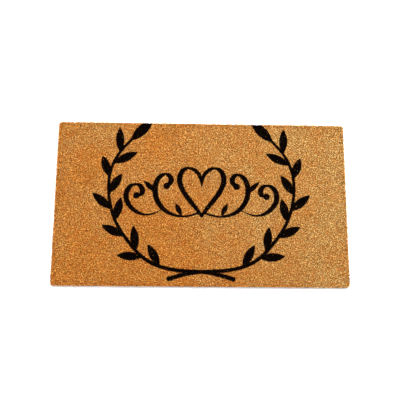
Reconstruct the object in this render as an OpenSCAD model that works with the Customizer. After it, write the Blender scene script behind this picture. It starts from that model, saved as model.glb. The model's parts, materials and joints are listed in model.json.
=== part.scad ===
// Coir door mat: a vinyl backing sheet, a pile of bonded coir fibre on it, and a design
// printed black into the top of the pile: a wreath of two leafy branches round a scroll
// ornament with a heart.
// X runs along the long side, Y along the short side and away from the reader, and Z up.
// The origin is the centre of the underside, which lies on the floor.

/* [Mat] */
// Length of the long side
mat_w = 762; // [740:1:920]
// Length of the short side
mat_d = 432; // [425:1:610]
// Whole thickness, from the floor to the fibre tips
mat_h = 15; // [12:0.5:25]
// Thickness of the vinyl backing sheet
backing_t = 2.5; // [1.5:0.5:4]
// Radius of the four corners
corner_r = 8; // [2:1:30]
// Depth to which the black print dyes the pile
print_depth = 4; // [2:0.5:7]

/* [Wreath] */
// Width of the wreath, as a factor on the stem's own points
wreath_stretch = 1; // [0.9:0.01:1.15]
// Stem width beside the leaf at the branch's tip
stem_tip_w = 7; // [5:0.5:9]
// Stem width at the cut end, below the crossing
stem_base_w = 10.5; // [8:0.5:12]
// Width of the round end that each stem is cut off in
stem_end_d = 12; // [12:0.5:14]
// Width of a leaf
leaf_w = 22; // [16:0.5:24]
// Length of a leaf, as a factor on the lengths in the leaf list
leaf_scale = 1; // [0.85:0.05:1.05]

/* [Scroll ornament] */
// Widest stroke of the broad pen
pen_thick = 14; // [10:0.5:16]
// Thinnest stroke of the broad pen
pen_thin = 5.5; // [4:0.5:8]
// Slant of the pen's edge from the X axis
pen_slant = 0; // [0:5:20]
// Width of the ball at the end of a curl
ball_d = 17; // [12:0.5:20]

/* [Hidden] */
// Control points of the left branch's stem, from its cut end beyond the crossing to its tip
stem_points = [
    [82, -197], [40, -184], [0, -178], [-50, -178], [-105, -169], [-151, -147],
    [-192, -99], [-226, -51], [-243, 12], [-245, 70], [-227, 126], [-183, 173],
];
// Each leaf of the left branch, from the bottom up: the place of its foot counted in the
// stem's points, its turn off the stem's own direction (outwards is positive), its length.
leaves = [
    [4.05, -43, 65],
    [5, 35, 66],
    [5.4, -36, 66],
    [6.2, 28, 66],
    [7, -37, 63],
    [7.5, 34, 67],
    [8.2, -38, 62],
    [8.95, 26, 60],
    [9.6, -42, 71],
    [10.2, 38, 68],
    [10.85, -2, 84],
];
leaf_count = len(leaves);
// The leaf at a branch's tip is broader than the rest.
end_leaf_factor = 1.25;
// How pointed a leaf's two ends are: 1 makes them the ends of a sine wave, and less is blunter.
leaf_point = 0.86;
leaf_steps = 16;

// Control points of the strokes right of the middle line, which are mirrored to the left
heart_stroke = [[0, 44], [3, 82], [44, 102], [66, 62], [42, 18], [14, -14], [-2, -38]];
inner_curl = [[8, -27], [44, -40], [92, -30], [124, 10], [122, 62], [92, 84], [74, 58], [92, 44]];
outer_curl = [[104, -20], [140, -38], [178, -24], [204, 12], [188, 50], [156, 48], [152, 20], [170, 18]];
// Small leaves of the ornament, on the right: foot, direction and length
scroll_leaves = [[[119, 26], 44, 46], [[52, -34], 64, 36]];
scroll_leaf_w = 13;
stroke_steps = 7;
// Share of a stroke over which it narrows towards an end
end_taper = 0.3;
// Width of the two ends of a stroke, as shares of the pen's own width
pointed_end = 0.1;
slim_end = 0.2;
half_end = 0.5;
full_end = 1;
// No stroke is narrower than this
point_w = 1.5;

curve_fn = 48;
// Half of the short stretch of stem that its direction is taken over
heading_span = 0.02;
// How far a pocket's cutter stands past the tips of the pile
cut_over = 1;

function two(n) = n < 10 ? str("0", n) : str(n);
left_leaf_names = [for (i = [1:leaf_count]) str("left_leaf_", two(i))];
right_leaf_names = [for (i = [1:leaf_count]) str("right_leaf_", two(i))];

// ---- Curves ----

// A point of a smooth curve, on the stretch that starts at control point i
function curve_point(p, i, t) = (
    pow(1 - t, 3) * p[i]
    + (3 * pow(t, 3) - 6 * t * t + 4) * p[i + 1]
    + (3 * t + 3 * t * t - 3 * pow(t, 3) + 1) * p[i + 2]
    + pow(t, 3) * p[i + 3]
) / 6;

// The control points with one more before and after them, so that the curve meets its ends
function led_past_ends(c) =
    let (n = len(c))
    concat([2 * c[0] - c[1]], c, [2 * c[n - 1] - c[n - 2]]);

// Points of a smooth curve led by control points, from the first to the last of them
function smooth_curve(c) =
    let (n = len(c), p = led_past_ends(c))
    [
        for (i = [0:n - 2]) for (k = [0:stroke_steps - 1]) curve_point(p, i, k / stroke_steps),
        c[n - 1],
    ];

// The stem's control points at the wreath's width
function stem_control() = [for (p = stem_points) [p.x * wreath_stretch, p.y]];

// The point of the stem at a place counted in its control points
function stem_at(u) =
    let (i = min(floor(u), len(stem_points) - 2))
    curve_point(led_past_ends(stem_control()), i, u - i);

// The stem's direction there, towards the branch's tip
function stem_heading(u) =
    let (d = stem_at(u + heading_span) - stem_at(u - heading_span))
    atan2(d.y, d.x);

// The direction of a line of points at one of them
function heading_at(pts, i) =
    let (d = pts[min(i + 1, len(pts) - 1)] - pts[max(i - 1, 0)])
    atan2(d.y, d.x);

// The outline of a line of points with a width at each of them
function ribbon(pts, widths) =
    let (
        n = len(pts),
        side = [for (i = [0:n - 1]) let (h = heading_at(pts, i)) [-sin(h), cos(h)] * widths[i] / 2]
    )
    concat([for (i = [0:n - 1]) pts[i] + side[i]], [for (i = [n - 1:-1:0]) pts[i] - side[i]]);

// A broad pen is thick across its edge and thin along it.
function pen_width(heading) = pen_thin + (pen_thick - pen_thin) * abs(sin(heading - pen_slant));

// How much of the pen's width is left at a share u of the stroke's way
function end_factor(u, start, finish) =
    let (
        a = min(1, u / end_taper),
        b = min(1, (1 - u) / end_taper)
    )
    (start + (1 - start) * sin(90 * a)) * (finish + (1 - finish) * sin(90 * b));

function stroke_widths(pts, start, finish) =
    let (n = len(pts))
    [
        for (i = [0:n - 1])
            max(point_w, pen_width(heading_at(pts, i)) * end_factor(i / (n - 1), start, finish))
    ];

// ---- Outline of the mat ----

module mat_outline() {
    for (x = [-1, 1], y = [-1, 1]) {
        translate([x * (mat_w / 2 - corner_r), y * (mat_d / 2 - corner_r)])
            circle(r = corner_r, $fn = curve_fn);
    }
    square([mat_w - 2 * corner_r, mat_d], center = true);
    square([mat_w, mat_d - 2 * corner_r], center = true);
}

// ---- Blocks of the printed design, from Z = 0 up to the height $print_h ----

module block() {
    linear_extrude($print_h) children();
}

// The left branch's stem, from its cut end beyond the crossing up to its tip
module stem_shape() {
    pts = smooth_curve(stem_control());
    last = len(pts) - 1;
    widths = [for (i = [0:last]) stem_base_w + (stem_tip_w - stem_base_w) * i / last];
    block() polygon(ribbon(pts, widths));
    translate(pts[0]) block() circle(d = stem_end_d, $fn = curve_fn);
}

// A leaf with its foot at the origin and its tip along +X
module leaf_shape(length, width) {
    upper = [
        for (i = [0:leaf_steps])
            let (s = i / leaf_steps)
            [s * length, width / 2 * pow(sin(180 * s), leaf_point)]
    ];
    lower = [for (i = [leaf_steps - 1:-1:1]) [upper[i].x, -upper[i].y]];
    block() polygon(concat(upper, lower));
}

module leaf_in_place(i) {
    place = leaves[i][0];
    width = i == leaf_count - 1 ? leaf_w * end_leaf_factor : leaf_w;
    translate(stem_at(place))
        rotate(stem_heading(place) + leaves[i][1])
            leaf_shape(leaves[i][2] * leaf_scale, width);
}

module both_stems() {
    for (side = [0, 1]) mirror([side, 0, 0]) stem_shape();
}

module stroke(ctrl, start, finish) {
    pts = smooth_curve(ctrl);
    block() polygon(ribbon(pts, stroke_widths(pts, start, finish)));
}

module ball_at(p) {
    translate(p) block() circle(d = ball_d, $fn = curve_fn);
}

module heart_shape() {
    for (side = [0, 1]) mirror([side, 0, 0]) stroke(heart_stroke, slim_end, half_end);
}

module inner_curl_shape() {
    stroke(inner_curl, half_end, full_end);
    ball_at(inner_curl[len(inner_curl) - 1]);
}

module outer_curl_shape() {
    stroke(outer_curl, pointed_end, full_end);
    ball_at(outer_curl[len(outer_curl) - 1]);
}

module scroll_leaf_shapes() {
    for (l = scroll_leaves) translate(l[0]) rotate(l[1]) leaf_shape(l[2], scroll_leaf_w);
}

// Everything that is printed, for the pockets in the natural pile
module printed_shape() {
    both_stems();
    heart_shape();
    for (side = [0, 1]) mirror([side, 0, 0]) {
        for (i = [0:leaf_count - 1]) leaf_in_place(i);
        inner_curl_shape();
        outer_curl_shape();
        scroll_leaf_shapes();
    }
}

// ---- Sub-parts ----

// A block of printed pile, whose tips are level with the natural pile round it
module printed_pile() {
    $print_h = print_depth;
    color([0.07, 0.065, 0.06]) translate([0, 0, mat_h - print_depth]) children();
}

module backing_sheet() {
    color([0.14, 0.14, 0.15]) linear_extrude(backing_t) mat_outline();
}

module coir_pile() {
    color([0.78, 0.52, 0.26])
        translate([0, 0, backing_t])
            difference() {
                linear_extrude(mat_h - backing_t) mat_outline();
                translate([0, 0, mat_h - backing_t - print_depth])
                    printed_shape($print_h = print_depth + cut_over);
            }
}

module wreath_stem() {
    printed_pile() both_stems();
}

module leaf(i) {
    printed_pile() difference() {
        intersection() {
            leaf_in_place(i);
            block() mat_outline();
        }
        both_stems();
    }
}

module heart() {
    printed_pile() heart_shape();
}

module inner_curl_pile() {
    printed_pile() difference() {
        inner_curl_shape();
        heart_shape();
    }
}

module outer_curl_pile() {
    printed_pile() difference() {
        outer_curl_shape();
        inner_curl_shape();
    }
}

module scroll_leaves_pile() {
    printed_pile() difference() {
        scroll_leaf_shapes();
        inner_curl_shape();
    }
}

backing_sheet();
coir_pile();
wreath_stem();
for (i = [0:leaf_count - 1]) {
    leaf(i);
    mirror([1, 0, 0]) leaf(i);
}
heart();
mirror([1, 0, 0]) inner_curl_pile();  // left_inner_curl
mirror([1, 0, 0]) outer_curl_pile();  // left_outer_curl
mirror([1, 0, 0]) scroll_leaves_pile();  // left_scroll_leaves
inner_curl_pile();  // right_inner_curl
outer_curl_pile();  // right_outer_curl
scroll_leaves_pile();  // right_scroll_leaves
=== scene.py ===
import json
import math
import random

import bpy
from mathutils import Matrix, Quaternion, Vector

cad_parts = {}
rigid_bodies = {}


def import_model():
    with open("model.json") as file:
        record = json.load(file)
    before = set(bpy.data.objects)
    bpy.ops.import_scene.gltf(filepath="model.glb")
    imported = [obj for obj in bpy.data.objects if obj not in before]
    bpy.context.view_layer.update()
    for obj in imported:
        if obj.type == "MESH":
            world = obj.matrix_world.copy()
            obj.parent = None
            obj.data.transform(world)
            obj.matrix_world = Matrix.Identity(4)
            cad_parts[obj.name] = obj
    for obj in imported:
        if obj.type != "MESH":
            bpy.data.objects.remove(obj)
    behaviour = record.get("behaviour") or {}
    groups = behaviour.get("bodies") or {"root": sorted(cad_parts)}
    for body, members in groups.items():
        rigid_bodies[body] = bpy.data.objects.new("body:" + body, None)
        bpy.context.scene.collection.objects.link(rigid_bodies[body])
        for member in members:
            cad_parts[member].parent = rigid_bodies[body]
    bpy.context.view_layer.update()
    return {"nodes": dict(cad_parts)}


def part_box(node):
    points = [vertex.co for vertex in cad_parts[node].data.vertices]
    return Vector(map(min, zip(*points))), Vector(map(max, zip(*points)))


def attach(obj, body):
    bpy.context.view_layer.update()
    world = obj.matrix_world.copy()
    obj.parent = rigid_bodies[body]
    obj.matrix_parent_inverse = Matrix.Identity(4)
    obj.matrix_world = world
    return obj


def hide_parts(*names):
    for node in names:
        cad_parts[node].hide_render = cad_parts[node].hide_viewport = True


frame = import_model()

bl_info = {
    "name": "Coir Door Mat",
    "version": (1, 0, 0),
    "blender": (4, 5, 0),
    "location": "View3D > Sidebar > Door Mat",
    "description": "Builds the pile, print and vinyl backing of a coir door mat round its CAD model",
    "category": "Add Mesh",
}

MM = 0.001

# ---- What the mat is made of, from the frame ----

BACKING_NODE = "backing_sheet"
PILE_NODE = "coir_pile"
WREATH_NODES = sorted(n for n in frame["nodes"] if n == "wreath_stem" or "_leaf_" in n)
ORNAMENT_NODES = sorted(n for n in frame["nodes"] if n == "heart" or "_curl" in n or "scroll" in n)
PRINT_NODES = WREATH_NODES + ORNAMENT_NODES

PILE_LOW, PILE_HIGH = (Vector(corner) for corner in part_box(PILE_NODE))
BACKING_LOW, BACKING_HIGH = (Vector(corner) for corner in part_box(BACKING_NODE))
PRINT_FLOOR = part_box(PRINT_NODES[0])[0][2]
PILE_TOP = PILE_HIGH.z
PILE_FOOT = PILE_LOW.z
MAT_W = PILE_HIGH.x - PILE_LOW.x
MAT_D = PILE_HIGH.y - PILE_LOW.y

# Flat faces that only serve the scattering: the natural pile, the print and the whole mat
HELPER_FACES = ("natural_faces", "printed_faces", "mat_faces")

# Radius of the mat's corners, and how far the closed bed stays in from the cut edge
CORNER_R = 8.0 * MM
BED_INSET = 2.2 * MM
# A face counts as the mat's side if it lies within NEAR_SIDE of it and if its plane passes the
# mat's centre at more than FACING_OUT, in metres, on the face's inner side.
NEAR_SIDE = 12.0 * MM
FACING_OUT = 0.2

# Name of the UV map that colours can be baked into.
UV_NAME = "OFBake"

# How far the dye is drawn past the CAD model's printed blocks, to make up for the ragged
# edge and the fibres that it misses: the visible print then has about the blocks' own area.
INK_CREEP = 0.4 * MM
# How far the print's edge wanders either way, and half the width that it fades over there
INK_RAGGED = 0.5 * MM
INK_SOFT = 0.15 * MM
# Height over which the dye begins, at the bottom of the printed blocks
DYE_FADE = 0.5 * MM
# A distance that is safely inside or outside the print's edge
CLEAR_OF_EDGE = 1.0 * MM

# Width of the darker, redder band along the cut edge, which is painted shade
EDGE_SHADE_BAND = 14.0 * MM
# How far the fringe stands out past the mat's edge, from its shortest to its longest
FRINGE = (0.1 * MM, 1.5 * MM)
# How the level of the cut tips varies about the CAD model's top
CUT_LEVEL = (-0.2 * MM, 0.6 * MM)
# The middle of the values that a noise texture gives
NOISE_MIDDLE = (0.3, 0.7)

# How deep a tuft's foot is sunk into the bed, and a loose fibre's below the tips
FOOT_SUNK = 0.3 * MM
LOOSE_SUNK = 1.6 * MM
# Smallest gap between two tufts and the density tried, both against the mean spacing
GAP_SHARE = 0.62
TRIED_DENSITY = 1.9


# ---- Settings that a user would change ----

class PileSettings(bpy.types.PropertyGroup):
    """Sizes of the fibres and how closely they stand."""

    strand_thickness: bpy.props.FloatProperty(
        name="Strand Thickness", description="Width of one bundle of coir fibres at its foot",
        default=0.80 * MM, unit="LENGTH", precision=5)
    strand_length: bpy.props.FloatProperty(
        name="Strand Length", description="Length of the part of a strand that stands out of the bed",
        default=4.7 * MM, unit="LENGTH", precision=5)
    strands_per_tuft: bpy.props.IntProperty(
        name="Strands per Tuft", description="Strands that lean the same way from one place",
        default=13, min=3, max=16)
    tuft_kinds: bpy.props.IntProperty(
        name="Kinds of Tuft", description="Different tufts that are modelled and then repeated",
        default=7, min=1, max=12)
    tuft_spacing: bpy.props.FloatProperty(
        name="Tuft Spacing", description="Mean distance from one tuft to the next",
        default=3.05 * MM, unit="LENGTH", precision=5)
    bed_depth: bpy.props.FloatProperty(
        name="Bed Depth", description="Depth below the fibre tips at which the pile closes up",
        default=3.1 * MM, unit="LENGTH", precision=5)
    edge_spacing: bpy.props.FloatProperty(
        name="Edge Spacing", description="Distance between the cut strands along the mat's edge",
        default=0.30 * MM, unit="LENGTH", precision=5)
    loose_spacing: bpy.props.FloatProperty(
        name="Loose Fibre Spacing", description="Mean distance between long fibres lying on the pile",
        default=9.5 * MM, unit="LENGTH", precision=5)
    seed: bpy.props.IntProperty(
        name="Seed", description="Starts the random placing of the tufts", default=11)


class ColourSettings(bpy.types.PropertyGroup):
    """Colours of the fibre, the print and the vinyl."""

    coir_dark: bpy.props.FloatVectorProperty(
        name="Dark Coir", description="Colour of the darkest natural strands",
        default=(0.12, 0.033, 0.005), size=3, subtype="COLOR")
    coir_mid: bpy.props.FloatVectorProperty(
        name="Middle Coir", description="Colour of most natural strands",
        default=(0.97, 0.378, 0.050), size=3, subtype="COLOR")
    coir_light: bpy.props.FloatVectorProperty(
        name="Light Coir", description="Colour of the lightest natural strands",
        default=(1.0, 0.71, 0.245), size=3, subtype="COLOR")
    # Painted shade: the bed's dark colour stands for the shade down between the strands.
    bed_shade_colour: bpy.props.FloatVectorProperty(
        name="Bed", description="Colour seen down between the strands",
        default=(0.30, 0.095, 0.017), size=3, subtype="COLOR")
    ink: bpy.props.FloatVectorProperty(
        name="Print", description="Colour of the black print",
        default=(0.0022, 0.0013, 0.0010), size=3, subtype="COLOR")
    vinyl: bpy.props.FloatVectorProperty(
        name="Vinyl", description="Colour of the vinyl backing",
        default=(0.022, 0.022, 0.024), size=3, subtype="COLOR")


class StageSettings(bpy.types.PropertyGroup):
    """Camera, floor and light."""

    lens: bpy.props.FloatProperty(
        name="Lens", description="Focal length on a sensor 36 mm wide", default=49.3, unit="CAMERA")
    camera_place: bpy.props.FloatVectorProperty(
        name="Camera Place", description="Where the camera stands, over the mat's near side",
        default=(-0.038, -0.2634, 1.4169), size=3, subtype="TRANSLATION", unit="LENGTH")
    camera_target: bpy.props.FloatVectorProperty(
        name="Camera Target", description="The point of the pile that the camera looks at",
        default=(-0.0042, 0.0071, 0.015), size=3, subtype="TRANSLATION", unit="LENGTH")
    camera_roll: bpy.props.FloatProperty(
        name="Camera Roll", description="Turn of the camera about its own axis",
        default=math.radians(7.66), subtype="ANGLE")
    floor_colour: bpy.props.FloatVectorProperty(
        name="Floor", description="Colour of the floor", default=(0.76, 0.76, 0.76), size=3,
        subtype="COLOR")
    world_strength: bpy.props.FloatProperty(
        name="Surrounding Light", description="Strength of the even light from all round",
        default=1.27, min=0)
    key_power: bpy.props.FloatProperty(
        name="Key Light", description="Power of the large soft light", default=285, unit="POWER")


# ---- Small tools ----

def deselect_all():
    if bpy.context.object and bpy.context.object.mode != "OBJECT":
        bpy.ops.object.mode_set(mode="OBJECT")
    bpy.ops.object.select_all(action="DESELECT")


def make_active(*objects):
    """Selects these objects only, and makes the first of them the active one."""
    deselect_all()
    for obj in objects:
        obj.select_set(True)
    bpy.context.view_layer.objects.active = objects[0]


def apply_modifiers(obj):
    make_active(obj)
    for modifier in list(obj.modifiers):
        bpy.ops.object.modifier_apply(modifier=modifier.name)


def join(objects, name):
    make_active(*objects)
    if len(objects) > 1:
        bpy.ops.object.join()
    joined = bpy.context.object
    joined.name = name
    joined.data.name = name
    return joined


def add_node(tree, kind, inputs=None, **options):
    """A node with its options set, and its inputs linked or given values."""
    node = tree.nodes.new(kind)
    for option, value in options.items():
        setattr(node, option, value)
    for socket, value in (inputs or {}).items():
        if isinstance(value, bpy.types.NodeSocket):
            tree.links.new(value, node.inputs[socket])
        else:
            node.inputs[socket].default_value = value
    return node


# ---- Materials ----

def new_material(name, roughness, specular):
    material = bpy.data.materials.new(name)
    material.use_nodes = True
    tree = material.node_tree
    shader = tree.nodes["Principled BSDF"]
    shader.inputs["Roughness"].default_value = roughness
    shader.inputs["Specular IOR Level"].default_value = specular
    return material, tree, shader


def math_node(tree, operation, a, b=0.0):
    return add_node(tree, "ShaderNodeMath", {0: a, 1: b}, operation=operation).outputs[0]


def map_range(tree, value, from_min, from_max, to_min=0.0, to_max=1.0):
    node = add_node(tree, "ShaderNodeMapRange",
                    {"Value": value, "From Min": from_min, "From Max": from_max,
                     "To Min": to_min, "To Max": to_max})
    return node.outputs[0]


def separate(tree, vector):
    return add_node(tree, "ShaderNodeSeparateXYZ", {0: vector}).outputs


def combine(tree, x, y, z=0.0):
    return add_node(tree, "ShaderNodeCombineXYZ", {0: x, 1: y, 2: z}).outputs[0]


def mix_colour(tree, factor, a, b, blend="MIX"):
    node = add_node(tree, "ShaderNodeMix", {0: factor, 6: a, 7: b}, data_type="RGBA",
                    blend_type=blend)
    return node.outputs[2]


def noise(tree, vector, scale, detail=2.0, rough=0.5):
    node = add_node(tree, "ShaderNodeTexNoise",
                    {"Vector": vector, "Scale": scale, "Detail": detail, "Roughness": rough})
    return node.outputs["Fac"]


def attribute(tree, name):
    return add_node(tree, "ShaderNodeAttribute", attribute_name=name).outputs["Fac"]


def ink_mask(tree, place, column):
    """1 where the print has dyed the fibre: inside the design, and near the tips."""
    edge = attribute(tree, "print_edge")
    wander = map_range(tree, noise(tree, place, 900.0), *NOISE_MIDDLE, -INK_RAGGED, INK_RAGGED)
    inside = map_range(tree, math_node(tree, "ADD", edge, wander), INK_CREEP - INK_SOFT,
                       INK_CREEP + INK_SOFT, 1.0, 0.0)
    height = separate(tree, place)["Z"]
    dyed = map_range(tree, height, PRINT_FLOOR, PRINT_FLOOR + DYE_FADE)
    missed = map_range(tree, noise(tree, column, 330.0, 1.0), 0.69, 0.75, 1.0, 0.45)
    return math_node(tree, "MULTIPLY", math_node(tree, "MULTIPLY", inside, dyed), missed)


def edge_shade_band(tree, plan):
    """1 at the cut edge, falling to 0 over the last few millimetres of the pile: where the painted
    shade along the edge lies.
    """
    beyond = [math_node(tree, "SUBTRACT", math_node(tree, "ABSOLUTE", plan[axis]), half)
              for axis, half in (("X", MAT_W / 2), ("Y", MAT_D / 2))]
    return map_range(tree, math_node(tree, "MAXIMUM", *beyond), -EDGE_SHADE_BAND, 0.0)


def strand_colour(tree, column, height, colours, cut_edge):
    """Strands from dark brown to straw, with painted shade down between the tips and in small pits.
    """
    parts = (attribute(tree, "strand_tone"), attribute(tree, "tuft_tone"),
             map_range(tree, noise(tree, column, 430.0, 2.0, 0.75), 0.42, 0.60))
    weights = (0.30, 0.42, 0.28) if cut_edge else (0.14, 0.20, 0.66)
    strand, tuft, clump = (math_node(tree, "MULTIPLY", part, weight)
                           for part, weight in zip(parts, weights))
    tone = math_node(tree, "ADD", math_node(tree, "ADD", strand, tuft), clump)
    ramp = add_node(tree, "ShaderNodeValToRGB", {"Fac": tone})
    dark, light = ramp.color_ramp.elements
    dark.position = 0.24
    dark.color = (*colours.coir_dark, 1)
    light.position = 0.80
    light.color = (*colours.coir_light, 1)
    ramp.color_ramp.elements.new(0.50).color = (*colours.coir_mid, 1)
    # Painted shade: strands grow darker towards their feet, and darker still in small pits of the
    # pile.
    lowest, shade = (PILE_FOOT, 0.70) if cut_edge else (PILE_TOP - 2.8 * MM, 0.66)
    depth_shade = map_range(tree, height, lowest, PILE_TOP - 0.3 * MM, shade, 1.0)
    pit_shade = map_range(tree, noise(tree, column, 360.0, 1.0), 0.38, 0.48, 0.12, 1.0)
    painted_shade = math_node(tree, "MULTIPLY", depth_shade, pit_shade)
    return mix_colour(tree, 1.0, ramp.outputs["Color"], combine(tree, painted_shade, painted_shade, painted_shade), "MULTIPLY")


def patch_and_sheen_tint(tree, place, plan):
    """Broad patches: some of the pile is redder, some yellower. It pales towards +X and +Y, which is
    painted sheen of the light on the pile's lean.
    """
    # Painted sheen: a slope across the mat that pales the pile towards +X and +Y.
    across = map_range(tree, plan["X"], -0.1, PILE_HIGH.x, -0.15, 0.24)
    along = map_range(tree, plan["Y"], PILE_LOW.y, PILE_HIGH.y, -0.10, 0.04)
    sheen_slope = math_node(tree, "ADD", across, along)
    patch = math_node(tree, "ADD", noise(tree, place, 9.0, 4.0, 0.6), sheen_slope)
    return mix_colour(tree, map_range(tree, patch, 0.25, 0.75), (1.06, 0.92, 0.70, 1),
                      (1.04, 1.25, 1.62, 1))


def coir_material(name, colours, bed=False, cut_edge=False, specular=0.10):
    """Coconut fibre, black where the print has dyed it. The bed is the same pile deep between
    the strands, in a darker colour that is painted shade."""
    material, tree, shader = new_material(name, 0.72, specular)
    place = add_node(tree, "ShaderNodeTexCoord").outputs["Object"]
    plan = separate(tree, place)
    # The fibres stand upright, so their grain is the same all the way down a column of pile.
    column = combine(tree, plan["X"], plan["Y"])
    # Painted shade: the bed takes a dark brown that stands for the shade deep in the pile.
    if bed:
        colour = mix_colour(tree, noise(tree, place, 700.0, 3.0), (*colours.bed_shade_colour, 1),
                            (*colours.coir_dark, 1))
    else:
        colour = strand_colour(tree, column, plan["Z"], colours, cut_edge)
    # Broad tone patches, with painted sheen paling towards +X and +Y.
    colour = mix_colour(tree, 1.0, colour, patch_and_sheen_tint(tree, place, plan), "MULTIPLY")
    # Painted shade: a darker, redder band along the cut edge.
    colour = mix_colour(tree, edge_shade_band(tree, plan), colour, (0.90, 0.82, 0.72, 1), "MULTIPLY")
    colour = mix_colour(tree, ink_mask(tree, place, column), colour, (*colours.ink, 1))
    tree.links.new(colour, shader.inputs["Base Color"])
    bump = add_node(tree, "ShaderNodeBump",
                    {"Height": noise(tree, place, 2600.0), "Strength": 0.9 if bed else 0.25,
                     "Distance": 0.1 * MM})
    tree.links.new(bump.outputs["Normal"], shader.inputs["Normal"])
    return material


def vinyl_material(colours):
    """Dull black vinyl with the fine square mark of the cloth that it was cured on."""
    material, tree, shader = new_material("Vinyl", 0.5, 0.4)
    place = add_node(tree, "ShaderNodeTexCoord").outputs["Object"]
    cloud = noise(tree, place, 40.0, 4.0)
    darker, lighter = ([part * factor for part in colours.vinyl] for factor in (0.75, 1.5))
    colour = mix_colour(tree, cloud, (*darker, 1), (*lighter, 1))
    tree.links.new(colour, shader.inputs["Base Color"])
    rough = map_range(tree, cloud, 0.0, 1.0, 0.45, 0.68)
    tree.links.new(rough, shader.inputs["Roughness"])
    heights = []
    for axis in ("X", "Y"):
        wave = add_node(tree, "ShaderNodeTexWave", {"Vector": place, "Scale": 320.0},
                        wave_type="BANDS", bands_direction=axis)
        heights.append(wave.outputs["Fac"])
    bump = add_node(tree, "ShaderNodeBump",
                    {"Height": math_node(tree, "ADD", *heights), "Strength": 0.5,
                     "Distance": 0.15 * MM})
    tree.links.new(bump.outputs["Normal"], shader.inputs["Normal"])
    return material


def floor_material(colour):
    material, _, shader = new_material("Floor", 0.9, 0.1)
    shader.inputs["Base Color"].default_value = (*colour, 1)
    return material


def material_named(name):
    found = bpy.data.materials.get(name)
    if found is None:
        raise RuntimeError(f"the material {name} isn't there: run Materials first")
    return found


# ---- Strands and tufts ----

def model_strand(length, thickness, leans, taper=1.0):
    """One three-sided strand from the origin to a point, with the lean towards +X of each step."""
    deselect_all()
    bpy.ops.mesh.primitive_circle_add(vertices=3, radius=thickness / 2, fill_type="NGON")
    strand = bpy.context.object
    strand.name = "strand"
    bpy.ops.object.mode_set(mode="EDIT")
    centre = Vector((0, 0, 0))
    centres = [centre.copy()]
    for k, lean in enumerate(leans, 1):
        step = Vector((math.sin(lean), 0, math.cos(lean))) * length / len(leans)
        bpy.ops.mesh.extrude_region_move(TRANSFORM_OT_translate={"value": step})
        centre += step
        centres.append(centre.copy())
        if k < len(leans):
            bpy.ops.transform.resize(value=(taper, taper, taper), center_override=centre)
    bpy.ops.mesh.merge(type="CENTER")
    bpy.ops.mesh.select_all(action="SELECT")
    bpy.ops.mesh.normals_make_consistent(inside=False)
    bpy.ops.object.mode_set(mode="OBJECT")
    bpy.ops.object.shade_smooth()
    mark_strip(strand.data, centres)
    return strand


def mark_strip(mesh, centres):
    """Each point's place across and along its strand, which the UV map is made from."""
    strip = mesh.attributes.new("strip", "FLOAT_VECTOR", "POINT")
    seen = {}
    for vertex in mesh.vertices:
        ring = min(range(len(centres)), key=lambda k: (vertex.co - centres[k]).length)
        across = seen.get(ring, 0) / 2
        seen[ring] = seen.get(ring, 0) + 1
        if ring == len(centres) - 1:
            across = 0.5
        strip.data[vertex.index].vector = (across, ring / (len(centres) - 1), 0)


def add_float_attribute(mesh, name, value):
    layer = mesh.attributes.new(name, "FLOAT", "POINT")
    for item in layer.data:
        item.value = value


def tuft_from(strand, count, rng, name, spread, foot_radius, tilt, size_range):
    """Several copies of one strand that lean roughly the same way from nearly one foot."""
    copies = []
    for k in range(count):
        copy = strand.copy()
        copy.data = strand.data.copy()
        bpy.context.collection.objects.link(copy)
        reach = foot_radius * math.sqrt(rng.random())
        angle = rng.uniform(0, math.tau)
        copy.location = (reach * math.cos(angle), reach * math.sin(angle), 0)
        copy.rotation_euler = (rng.gauss(0, tilt), rng.gauss(0, tilt), rng.gauss(0, spread))
        size = rng.uniform(*size_range)
        copy.scale = (size, size, size)
        add_float_attribute(copy.data, "strand_tone", rng.random())
        for item in copy.data.attributes["strip"].data:
            across, along, _ = item.vector
            item.vector = ((k + 0.15 + 0.7 * across) / count, 0.08 + 0.84 * along, 0)
        copies.append(copy)
    make_active(*copies)
    bpy.ops.object.transform_apply(location=True, rotation=True, scale=True)
    return join(copies, name)


def tuft_collection(name, tufts):
    """Puts tufts into a collection of their own, out of the scene, for the scattering."""
    group = bpy.data.collections.new(name)
    for tuft in tufts:
        for home in list(tuft.users_collection):
            home.objects.unlink(tuft)
        group.objects.link(tuft)
    return group


# ---- Scattering ----

def faces_of(nodes, name, keep):
    """The faces of some CAD nodes for which keep(centre, normal) is true, as a new object."""
    parts = []
    for node in nodes:
        source = frame["nodes"][node]
        part = bpy.data.objects.new(name, source.data.copy())
        bpy.context.collection.objects.link(part)
        part.matrix_world = source.matrix_world
        part.data.materials.clear()
        parts.append(part)
    faces = join(parts, name)
    bpy.ops.object.mode_set(mode="EDIT")
    bpy.ops.mesh.select_all(action="SELECT")
    bpy.ops.mesh.remove_doubles(threshold=0.001 * MM)
    bpy.ops.mesh.select_mode(type="FACE")
    bpy.ops.mesh.select_all(action="DESELECT")
    bpy.ops.object.mode_set(mode="OBJECT")
    for face in faces.data.polygons:
        face.select = not keep(face.center, face.normal)
    bpy.ops.object.mode_set(mode="EDIT")
    bpy.ops.mesh.delete(type="FACE")
    bpy.ops.object.mode_set(mode="OBJECT")
    if not faces.data.polygons:
        raise RuntimeError(f"{name}: no face of the CAD nodes was kept")
    return faces


def is_top(centre, normal):
    return normal.z > 0.9 and abs(centre.z - PILE_TOP) < 0.1 * MM


def is_outer_wall(centre, normal):
    """True on the mat's own sides, and on a pocket's walls where they run out close to them."""
    near_side = (abs(abs(centre.x) - MAT_W / 2) < NEAR_SIDE
                 or abs(abs(centre.y) - MAT_D / 2) < NEAR_SIDE)
    return abs(normal.z) < 0.1 and near_side and centre.dot(normal) > FACING_OUT


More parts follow.
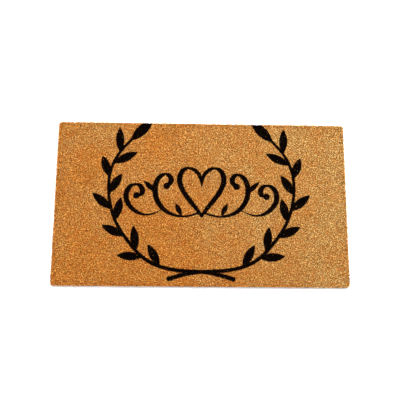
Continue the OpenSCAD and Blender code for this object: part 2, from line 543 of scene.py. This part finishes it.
def draw_in(place, inset):
    """Moves a place that is within the inset of the mat's rounded outline in to the inset."""
    core = Vector((MAT_W / 2 - CORNER_R, MAT_D / 2 - CORNER_R))
    nearest = Vector((max(-core.x, min(core.x, place.x)), max(-core.y, min(core.y, place.y))))
    out = place.xy - nearest
    if out.length > CORNER_R - inset:
        place.xy = nearest + out.normalized() * (CORNER_R - inset)


def new_group(name):
    tree = bpy.data.node_groups.new(name, "GeometryNodeTree")
    tree.interface.new_socket("Geometry", in_out="INPUT", socket_type="NodeSocketGeometry")
    tree.interface.new_socket("Geometry", in_out="OUTPUT", socket_type="NodeSocketGeometry")
    return tree, tree.nodes.new("NodeGroupInput").outputs[0], tree.nodes.new("NodeGroupOutput")


def random_float(tree, low, high, seed):
    node = add_node(tree, "FunctionNodeRandomValue", {2: low, 3: high, 8: seed}, data_type="FLOAT")
    return node.outputs[1]


def random_turn(tree, tilt, seed):
    """A turn by any angle about Z, and a little about X and Y."""
    node = add_node(tree, "FunctionNodeRandomValue",
                    {0: (-tilt, -tilt, 0), 1: (tilt, tilt, math.tau), 8: seed},
                    data_type="FLOAT_VECTOR")
    return node.outputs[0]


def store(tree, geometry, name, value, kind, domain):
    node = add_node(tree, "GeometryNodeStoreNamedAttribute", {"Geometry": geometry, "Name": name},
                    data_type=kind, domain=domain)
    tree.links.new(value, node.inputs["Value"])
    return node.outputs[0]


def position(tree):
    return tree.nodes.new("GeometryNodeInputPosition").outputs[0]


def nearest_on(tree, faces, place):
    """The nearest point of another object's faces to a place, and how far off it is."""
    info = add_node(tree, "GeometryNodeObjectInfo", {"Object": faces}, transform_space="ORIGINAL")
    near = add_node(tree, "GeometryNodeProximity",
                    {0: info.outputs["Geometry"], "Sample Position": place}, target_element="FACES")
    return near.outputs["Position"], near.outputs["Distance"]


def store_print_edge(tree, geometry, natural, printed):
    """Each point's distance outside the printed design in plan, negative inside it."""
    place = separate(tree, position(tree))
    flat = combine(tree, place["X"], place["Y"], PILE_TOP)
    outside = nearest_on(tree, printed, flat)[1]
    inside = nearest_on(tree, natural, flat)[1]
    return store(tree, geometry, "print_edge", math_node(tree, "SUBTRACT", outside, inside),
                 "FLOAT", "POINT")


def store_uv(tree, geometry, cells):
    """Lays each copy's strips out in its own cell of a square grid."""
    cell = add_node(tree, "GeometryNodeInputNamedAttribute", {"Name": "cell"}, data_type="FLOAT")
    strip = add_node(tree, "GeometryNodeInputNamedAttribute", {"Name": "strip"},
                     data_type="FLOAT_VECTOR")
    side = math_node(tree, "CEIL", math_node(tree, "SQRT", cells))
    column = math_node(tree, "MODULO", cell.outputs[0], side)
    row = math_node(tree, "FLOOR", math_node(tree, "DIVIDE", cell.outputs[0], side))
    placed = add_node(tree, "ShaderNodeVectorMath",
                      {0: combine(tree, column, row), 1: strip.outputs[0]}, operation="ADD")
    share = math_node(tree, "DIVIDE", 1.0, side)
    scaled = add_node(tree, "ShaderNodeVectorMath", {0: placed.outputs[0], "Scale": share},
                      operation="SCALE")
    return store(tree, geometry, UV_NAME, scaled.outputs[0], "FLOAT2", "CORNER")


def trim_to_mat(tree, geometry, outline):
    """Cuts the pile level, and what leans out past the mat's edge but for a short fringe."""
    place = position(tree)
    axes = separate(tree, place)
    flat = combine(tree, axes["X"], axes["Y"], BACKING_HIGH.z)
    nearest, beyond = nearest_on(tree, outline, flat)
    fringe = map_range(tree, noise(tree, place, 220.0), *NOISE_MIDDLE, *FRINGE)
    share = math_node(tree, "DIVIDE", fringe, math_node(tree, "MAXIMUM", beyond, fringe))
    outward = add_node(tree, "ShaderNodeVectorMath", {0: flat, 1: nearest}, operation="SUBTRACT")
    kept = add_node(tree, "ShaderNodeVectorMath", {0: outward.outputs[0], "Scale": share},
                    operation="SCALE")
    moved = add_node(tree, "ShaderNodeVectorMath", {0: nearest, 1: kept.outputs[0]}, operation="ADD")
    plan = separate(tree, moved.outputs[0])
    level = map_range(tree, noise(tree, place, 160.0), *NOISE_MIDDLE,
                      *(PILE_TOP + height for height in CUT_LEVEL))
    trimmed = combine(tree, plan["X"], plan["Y"], math_node(tree, "MINIMUM", axes["Z"], level))
    return add_node(tree, "GeometryNodeSetPosition",
                    {"Geometry": geometry, "Position": trimmed}).outputs[0]


def finish_scatter(tree, output, instances, cells, material, seed):
    """Marks each copy, makes the copies real and stores what the material reads."""
    natural, printed, outline = (helper(name) for name in HELPER_FACES)
    tone = random_float(tree, 0.0, 1.0, seed + 5)
    geometry = store(tree, instances, "tuft_tone", tone, "FLOAT", "INSTANCE")
    index = tree.nodes.new("GeometryNodeInputIndex").outputs[0]
    geometry = store(tree, geometry, "cell", index, "FLOAT", "INSTANCE")
    geometry = add_node(tree, "GeometryNodeRealizeInstances", {0: geometry}).outputs[0]
    geometry = trim_to_mat(tree, geometry, outline)
    geometry = store_print_edge(tree, geometry, natural, printed)
    geometry = store_uv(tree, geometry, cells)
    geometry = add_node(tree, "GeometryNodeSetMaterial",
                        {"Geometry": geometry, "Material": material}).outputs[0]
    tree.links.new(geometry, output.inputs[0])


def point_count(tree, points):
    return add_node(tree, "GeometryNodeAttributeDomainSize", {0: points},
                    component="POINTCLOUD").outputs["Point Count"]


def keep_within(tree, points, low, high):
    """Deletes the points outside a rectangle of the plan."""
    place = separate(tree, position(tree))
    outside = None
    for axis in (0, 1):
        for limit, operation in ((low[axis], "LESS_THAN"), (high[axis], "GREATER_EQUAL")):
            beyond = add_node(tree, "FunctionNodeCompare", {0: place[axis], 1: limit},
                              data_type="FLOAT", operation=operation).outputs[0]
            if outside is None:
                outside = beyond
            else:
                outside = add_node(tree, "FunctionNodeBooleanMath", {0: outside, 1: beyond},
                                   operation="OR").outputs[0]
    return add_node(tree, "GeometryNodeDeleteGeometry", {"Geometry": points, "Selection": outside},
                    domain="POINT").outputs[0]


def scatter_on(emitter, name, tufts, spacing, sunk, tilt, size_range, seed, material, within=None):
    """Covers a copy of the emitter's faces with sunken tufts and returns the covered piece."""
    piece = emitter.copy()
    piece.data = emitter.data.copy()
    bpy.context.collection.objects.link(piece)
    piece.name = name
    piece.data.name = name
    tree, faces, output = new_group(name)
    spread = add_node(tree, "GeometryNodeDistributePointsOnFaces",
                      {"Mesh": faces, "Distance Min": spacing * GAP_SHARE,
                       "Density Max": TRIED_DENSITY / spacing ** 2, "Seed": seed},
                      distribute_method="POISSON")
    points = spread.outputs["Points"]
    if within:
        points = keep_within(tree, points, *within)
    points = add_node(tree, "GeometryNodeSetPosition",
                      {"Geometry": points, "Offset": (0, 0, -sunk)}).outputs[0]
    kinds = add_node(tree, "GeometryNodeCollectionInfo",
                     {"Collection": tufts, "Separate Children": True, "Reset Children": True})
    placed = add_node(tree, "GeometryNodeInstanceOnPoints",
                      {"Points": points, "Instance": kinds.outputs[0], "Pick Instance": True,
                       "Rotation": random_turn(tree, tilt, seed + 1),
                       "Scale": random_float(tree, *size_range, seed + 2)})
    finish_scatter(tree, output, placed.outputs[0], point_count(tree, points), material, seed)
    piece.modifiers.new("Scatter", "NODES").node_group = tree
    apply_modifiers(piece)
    bpy.data.node_groups.remove(tree)
    return piece


def finish_piece(piece, slot, *nodes):
    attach(piece, "root")
    if nodes:
        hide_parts(*nodes)


def helper(name):
    found = bpy.data.objects.get(name)
    if found is None:
        raise RuntimeError(f"{name} isn't there: run Tufts and Faces first")
    return found


# ---- Operators ----

class DOORMAT_OT_materials(bpy.types.Operator):
    """Make the natural, printed and deep coir and the vinyl"""

    bl_idname = "door_mat.materials"
    bl_label = "Materials"

    def execute(self, context):
        colours = context.scene.door_mat_colours
        coir_material("Natural coir", colours)
        coir_material("Cut edge", colours, cut_edge=True)
        coir_material("Printed coir", colours, specular=0.0)
        coir_material("Deep coir in painted shade", colours, bed=True, specular=0.0)
        vinyl_material(colours)
        return {"FINISHED"}


class DOORMAT_OT_tufts(bpy.types.Operator):
    """Model the strands and tufts that the pile repeats"""

    bl_idname = "door_mat.tufts"
    bl_label = "Tufts and Faces"

    def execute(self, context):
        pile = context.scene.door_mat_pile
        rng = random.Random(pile.seed)
        tufts = []
        for kind in range(pile.tuft_kinds):
            lean = math.radians(rng.uniform(32, 50))
            strand = model_strand(pile.strand_length, pile.strand_thickness, [lean])
            tufts.append(tuft_from(strand, pile.strands_per_tuft, rng, f"tuft_{kind}",
                                   spread=math.radians(60), foot_radius=2.2 * MM,
                                   tilt=math.radians(17), size_range=(0.78, 1.15)))
            bpy.data.objects.remove(strand)
        tuft_collection("tufts", tufts)
        tuft_collection("edge_strands", self.edge_strands(pile, rng))
        tuft_collection("loose_fibres", self.loose_fibres(pile, rng))
        faces_of([PILE_NODE], "natural_faces", is_top)
        faces_of(PRINT_NODES, "printed_faces", is_top)
        faces_of([BACKING_NODE], "mat_faces",
                 lambda centre, normal: normal.z > 0.9 and centre.z > BACKING_HIGH.z - 0.1 * MM)
        return {"FINISHED"}

    def edge_strands(self, pile, rng):
        """Upright strands as tall as the pile, which show their whole length at its cut edge."""
        height = (PILE_TOP - PILE_FOOT) * 1.12
        tufts = []
        for kind in range(6):
            lean = math.radians(rng.uniform(-2, 6))
            strand = model_strand(height, pile.strand_thickness, [lean])
            tufts.append(tuft_from(strand, 3, rng, f"edge_strand_{kind}", spread=math.radians(70),
                                   foot_radius=0.6 * MM, tilt=math.radians(4),
                                   size_range=(0.9, 1.08)))
            bpy.data.objects.remove(strand)
        return tufts

    def loose_fibres(self, pile, rng):
        """Long fibres that lie along the top of the pile."""
        fibres = []
        for kind in range(5):
            foot = math.radians(rng.uniform(62, 72))
            tip = math.radians(rng.uniform(92, 100))
            leans = [foot + (tip - foot) * share for share in (0.125, 0.375, 0.625, 0.875)]
            strand = model_strand(11 * MM, pile.strand_thickness * 0.75, leans, taper=0.93)
            fibres.append(tuft_from(strand, 1, rng, f"loose_fibre_{kind}", spread=0.3,
                                    foot_radius=0.2 * MM, tilt=0.03, size_range=(0.8, 1.1)))
            bpy.data.objects.remove(strand)
        return fibres


class DOORMAT_OT_bed(bpy.types.Operator):
    """Model the closed bed of fibre that is seen deep between the strands, coloured in painted shade
    """

    bl_idname = "door_mat.bed"
    bl_label = "Pile Bed"

    def execute(self, context):
        pile = context.scene.door_mat_pile
        for name, nodes, slot in (("coir_bed", [PILE_NODE], "coir"),
                                  ("printed_bed", PRINT_NODES, "printed_coir")):
            bed = faces_of(nodes, name, lambda centre, normal: True)
            for vertex in bed.data.vertices:
                if vertex.co.z > PILE_TOP - 0.1 * MM:
                    vertex.co.z = PILE_TOP - pile.bed_depth
                draw_in(vertex.co, BED_INSET)
            side = -1 if nodes == PRINT_NODES else 1
            add_float_attribute(bed.data, "print_edge", side * CLEAR_OF_EDGE)
            bed.data.materials.append(material_named("Deep coir in painted shade"))
            finish_piece(bed, slot)
        return {"FINISHED"}


class DOORMAT_OT_natural_pile(bpy.types.Operator):
    """Cover the natural part of the mat with tufts, in panels"""

    bl_idname = "door_mat.natural_pile"
    bl_label = "Natural Pile"

    columns: bpy.props.IntProperty(name="Columns", description="Panels along the mat", default=4)
    rows: bpy.props.IntProperty(name="Rows", description="Panels across the mat", default=2)

    def execute(self, context):
        pile = context.scene.door_mat_pile
        natural = helper("natural_faces")
        spacing = pile.tuft_spacing * 1
        for row in range(self.rows):
            for column in range(self.columns):
                low = (PILE_LOW.x + MAT_W * column / self.columns,
                       PILE_LOW.y + MAT_D * row / self.rows)
                high = (low[0] + MAT_W / self.columns, low[1] + MAT_D / self.rows)
                panel = scatter_on(natural, f"coir_panel_{row + 1}{column + 1}",
                                   bpy.data.collections["tufts"], spacing,
                                   pile.bed_depth + FOOT_SUNK, 0.16, (0.85, 1.15), pile.seed,
                                   material_named("Natural coir"), (low, high))
                finish_piece(panel, "coir", PILE_NODE)
        return {"FINISHED"}


class DOORMAT_OT_printed_pile(bpy.types.Operator):
    """Cover the printed wreath and ornament with tufts"""

    bl_idname = "door_mat.printed_pile"
    bl_label = "Printed Pile"

    def execute(self, context):
        pile = context.scene.door_mat_pile
        natural = helper("natural_faces")
        spacing = pile.tuft_spacing * 1
        for name, nodes in (("printed_wreath", WREATH_NODES), ("printed_ornament", ORNAMENT_NODES)):
            emitter = faces_of(nodes, f"{name}_faces", is_top)
            piece = scatter_on(emitter, name, bpy.data.collections["tufts"], spacing,
                               pile.bed_depth + FOOT_SUNK, 0.16, (0.8, 1.12), pile.seed + 40,
                               material_named("Printed coir"))
            bpy.data.objects.remove(emitter)
            finish_piece(piece, "printed_coir", *nodes)
        return {"FINISHED"}


class DOORMAT_OT_edge_pile(bpy.types.Operator):
    """Stand the cut strands up round the mat's edge"""

    bl_idname = "door_mat.edge_pile"
    bl_label = "Edge Pile"

    def execute(self, context):
        pile = context.scene.door_mat_pile
        wall = faces_of([PILE_NODE], "edge_pile", is_outer_wall)
        tree, faces, output = new_group("edge_pile")
        height = PILE_TOP - PILE_FOOT
        spacing = pile.edge_spacing * 1
        spread = add_node(tree, "GeometryNodeDistributePointsOnFaces",
                          {"Mesh": faces, "Density": 1 / (spacing * height), "Seed": pile.seed + 70},
                          distribute_method="RANDOM")
        points = spread.outputs["Points"]
        # Every strand's foot is on the vinyl, up to 2 mm in from the edge.
        inward = add_node(tree, "ShaderNodeVectorMath",
                          {0: spread.outputs["Normal"],
                           "Scale": random_float(tree, -2.0 * MM, -0.35 * MM, pile.seed + 71)},
                          operation="SCALE")
        captured = store(tree, points, "outward", spread.outputs["Normal"], "FLOAT_VECTOR", "POINT")
        place = separate(tree, position(tree))
        foot = combine(tree, place["X"], place["Y"], PILE_FOOT)
        points = add_node(tree, "GeometryNodeSetPosition",
                          {"Geometry": captured, "Position": foot,
                           "Offset": inward.outputs[0]}).outputs[0]
        outward = add_node(tree, "GeometryNodeInputNamedAttribute", {"Name": "outward"},
                           data_type="FLOAT_VECTOR").outputs[0]
        facing = add_node(tree, "FunctionNodeAlignRotationToVector", {"Vector": outward}, axis="X",
                          pivot_axis="Z").outputs[0]
        kinds = add_node(tree, "GeometryNodeCollectionInfo",
                         {"Collection": bpy.data.collections["edge_strands"],
                          "Separate Children": True, "Reset Children": True})
        placed = add_node(tree, "GeometryNodeInstanceOnPoints",
                          {"Points": points, "Instance": kinds.outputs[0], "Pick Instance": True,
                           "Rotation": facing,
                           "Scale": random_float(tree, 0.93, 1.02, pile.seed + 72)})
        finish_scatter(tree, output, placed.outputs[0], point_count(tree, points),
                       material_named("Cut edge"), pile.seed + 73)
        wall.modifiers.new("Scatter", "NODES").node_group = tree
        apply_modifiers(wall)
        bpy.data.node_groups.remove(tree)
        finish_piece(wall, "coir")
        return {"FINISHED"}


class DOORMAT_OT_loose_fibres(bpy.types.Operator):
    """Lay long pale fibres along the top of the pile"""

    bl_idname = "door_mat.loose_fibres"
    bl_label = "Loose Fibres"

    def execute(self, context):
        pile = context.scene.door_mat_pile
        natural = helper("natural_faces")
        piece = scatter_on(natural, "loose_fibres", bpy.data.collections["loose_fibres"],
                           pile.loose_spacing, LOOSE_SUNK, 0.08, (0.7, 1.15), pile.seed + 90,
                           material_named("Natural coir"))
        finish_piece(piece, "coir")
        return {"FINISHED"}


class DOORMAT_OT_backing(bpy.types.Operator):
    """Model the vinyl sheet that the fibres stand in"""

    bl_idname = "door_mat.backing"
    bl_label = "Vinyl Backing"

    bevel: bpy.props.FloatProperty(name="Edge Rounding", description="Rounding of the sheet's edges",
                                   default=0.5 * MM, unit="LENGTH", precision=5)

    def execute(self, context):
        sheet = faces_of([BACKING_NODE], "vinyl_backing", lambda centre, normal: True)
        make_active(sheet)
        bpy.ops.object.mode_set(mode="EDIT")
        bpy.ops.mesh.select_all(action="SELECT")
        bpy.ops.mesh.dissolve_limited(angle_limit=math.radians(1))
        bpy.ops.object.mode_set(mode="OBJECT")
        rounding = sheet.modifiers.new("Rounding", "BEVEL")
        rounding.width = self.bevel
        rounding.segments = 3
        rounding.limit_method = "ANGLE"
        rounding.angle_limit = math.radians(40)
        apply_modifiers(sheet)
        bpy.ops.object.shade_smooth_by_angle(angle=math.radians(40))
        sheet.data.materials.append(material_named("Vinyl"))
        finish_piece(sheet, "vinyl", BACKING_NODE)
        return {"FINISHED"}


class DOORMAT_OT_stage(bpy.types.Operator):
    """Set up the floor, the light and the camera"""

    bl_idname = "door_mat.stage"
    bl_label = "Stage"

    def execute(self, context):
        stage = context.scene.door_mat_stage
        deselect_all()
        bpy.ops.mesh.primitive_plane_add(size=12)
        floor = context.object
        floor.name = "floor"
        floor.data.materials.append(floor_material(stage.floor_colour))
        self.add_camera(context, stage)
        self.add_light(context, stage)
        return {"FINISHED"}

    def add_camera(self, context, stage):
        place, target = Vector(stage.camera_place), Vector(stage.camera_target)
        bpy.ops.object.camera_add(location=place)
        camera = context.object
        camera.data.lens = stage.lens
        camera.data.sensor_width = 36
        level = (target - place).to_track_quat("-Z", "Y")
        camera.rotation_mode = "QUATERNION"
        camera.rotation_quaternion = level @ Quaternion((0, 0, 1), stage.camera_roll)
        context.scene.camera = camera

    def add_light(self, context, stage):
        world = bpy.data.worlds.new("Surroundings")
        world.use_nodes = True
        world.node_tree.nodes["Background"].inputs["Color"].default_value = (1, 1, 1, 1)
        world.node_tree.nodes["Background"].inputs["Strength"].default_value = stage.world_strength
        context.scene.world = world
        context.scene.view_settings.view_transform = "Standard"
        place = Vector((0.6, 1.3, 3.2))
        bpy.ops.object.light_add(type="AREA", location=place)
        key = context.object
        key.data.shape = "DISK"
        key.data.size = 1.6
        key.data.energy = stage.key_power
        key.rotation_mode = "QUATERNION"
        key.rotation_quaternion = (-place).to_track_quat("-Z", "Y")


class DOORMAT_PT_panel(bpy.types.Panel):
    """The door mat's settings and steps"""

    bl_label = "Door Mat"
    bl_idname = "DOORMAT_PT_panel"
    bl_space_type = "VIEW_3D"
    bl_region_type = "UI"
    bl_category = "Door Mat"

    def draw(self, context):
        scene = context.scene
        for title, group in (("Pile", scene.door_mat_pile), ("Colours", scene.door_mat_colours),
                             ("Stage", scene.door_mat_stage)):
            box = self.layout.box()
            box.label(text=title)
            for name in group.bl_rna.properties.keys():
                if name not in ("rna_type", "name"):
                    box.prop(group, name)
        for operator in STEPS:
            self.layout.operator(operator.bl_idname)


STEPS = (
    DOORMAT_OT_stage,
    DOORMAT_OT_materials,
    DOORMAT_OT_tufts,
    DOORMAT_OT_bed,
    DOORMAT_OT_natural_pile,
    DOORMAT_OT_printed_pile,
    DOORMAT_OT_edge_pile,
    DOORMAT_OT_loose_fibres,
    DOORMAT_OT_backing,
)
CLASSES = (PileSettings, ColourSettings, StageSettings, *STEPS, DOORMAT_PT_panel)


def register():
    for cls in CLASSES:
        bpy.utils.register_class(cls)
    bpy.types.Scene.door_mat_pile = bpy.props.PointerProperty(type=PileSettings)
    bpy.types.Scene.door_mat_colours = bpy.props.PointerProperty(type=ColourSettings)
    bpy.types.Scene.door_mat_stage = bpy.props.PointerProperty(type=StageSettings)


def unregister():
    del bpy.types.Scene.door_mat_stage
    del bpy.types.Scene.door_mat_colours
    del bpy.types.Scene.door_mat_pile
    for cls in reversed(CLASSES):
        bpy.utils.unregister_class(cls)


def clear_helpers():
    """Removes what only served the scattering."""
    for name in HELPER_FACES:
        bpy.data.objects.remove(helper(name))
    for name in ("tufts", "edge_strands", "loose_fibres"):
        group = bpy.data.collections[name]
        for obj in list(group.objects):
            bpy.data.objects.remove(obj)
        bpy.data.collections.remove(group)


def main():
    register()
    bpy.ops.door_mat.stage()
    bpy.ops.door_mat.materials()
    bpy.ops.door_mat.tufts()
    bpy.ops.door_mat.bed()
    bpy.ops.door_mat.natural_pile()
    bpy.ops.door_mat.printed_pile()
    bpy.ops.door_mat.edge_pile()
    bpy.ops.door_mat.loose_fibres()
    bpy.ops.door_mat.backing()
    clear_helpers()


if __name__ == "__main__":
    main()
